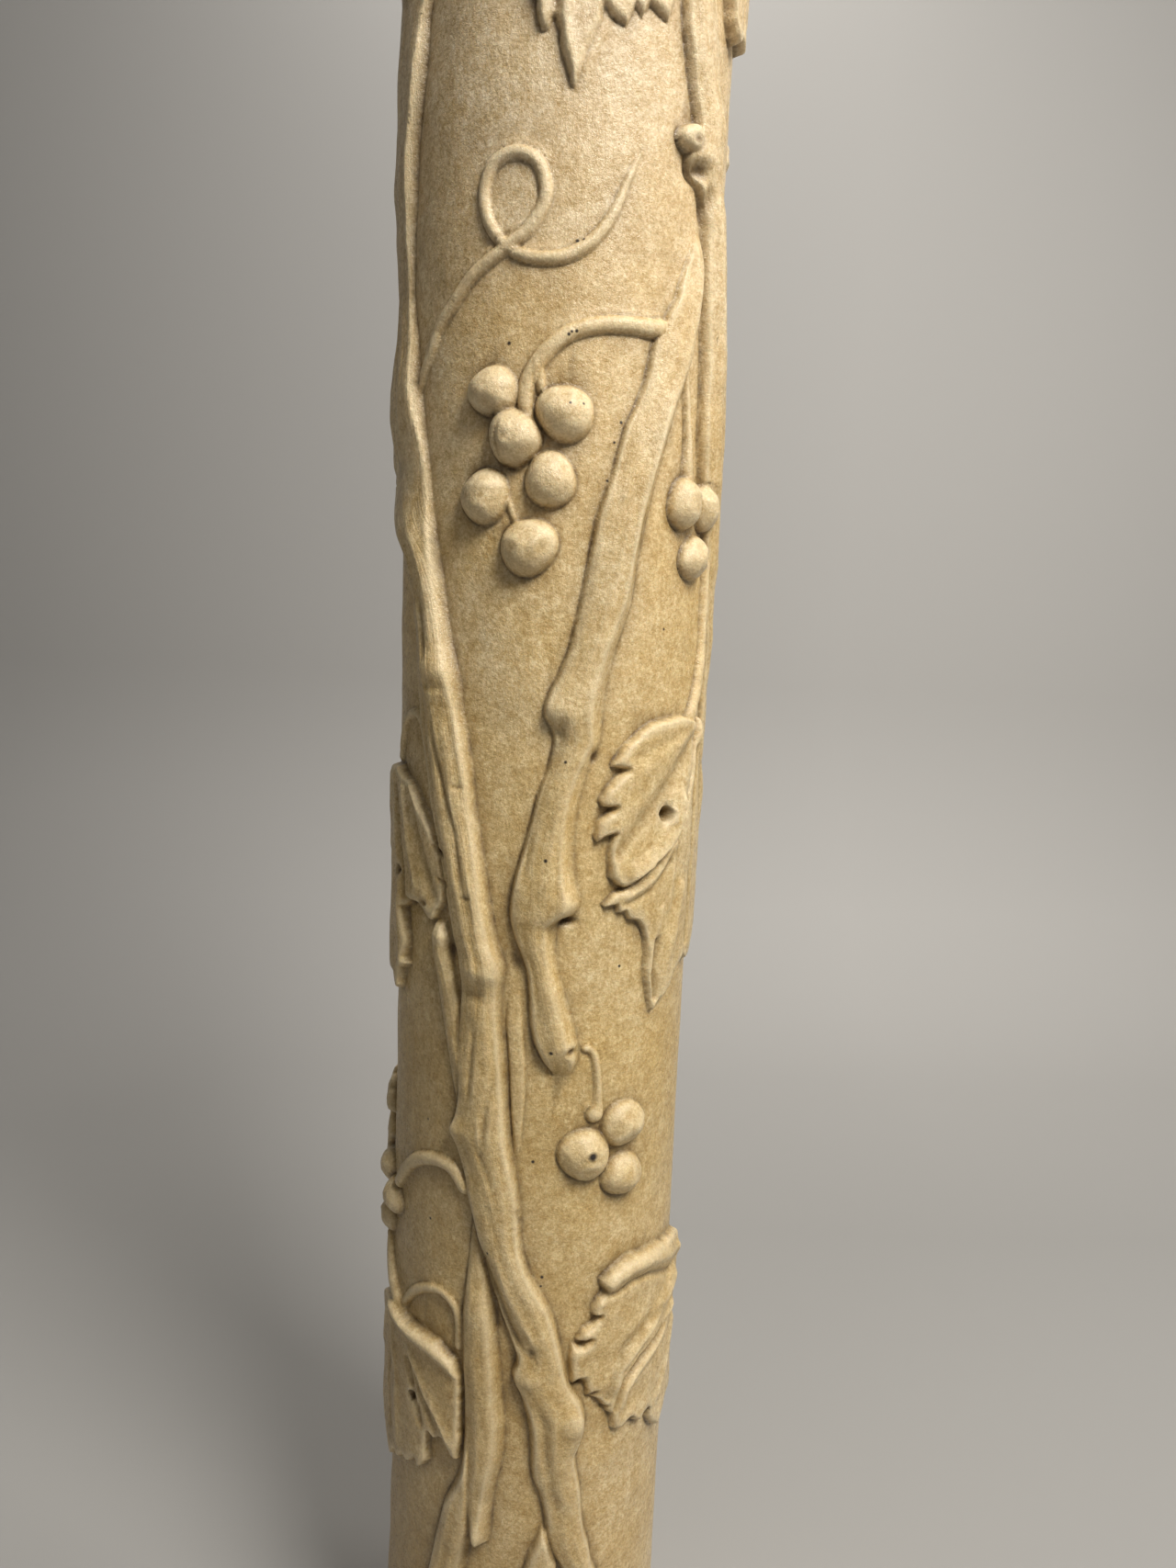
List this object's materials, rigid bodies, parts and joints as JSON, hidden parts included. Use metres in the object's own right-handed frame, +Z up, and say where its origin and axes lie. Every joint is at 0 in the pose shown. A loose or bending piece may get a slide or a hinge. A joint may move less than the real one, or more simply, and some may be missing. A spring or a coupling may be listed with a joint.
{
  "type": "carved marble column shaft",
  "caption": "Round marble column shaft with a grapevine carved up it in relief, plain turned collars at both ends and flat beds.",
  "frame": {"origin": "centre of the lower bed, on the shaft's axis", "axes": "+Z up the shaft, -Y towards the side that the picture shows"},
  "size_m": [0.1749, 0.175, 1],
  "materials": {
    "marble": "honed, aged"
  },
  "bodies": {
    "root": {"carved_shaft": "marble"}
  },
  "joints": []
}
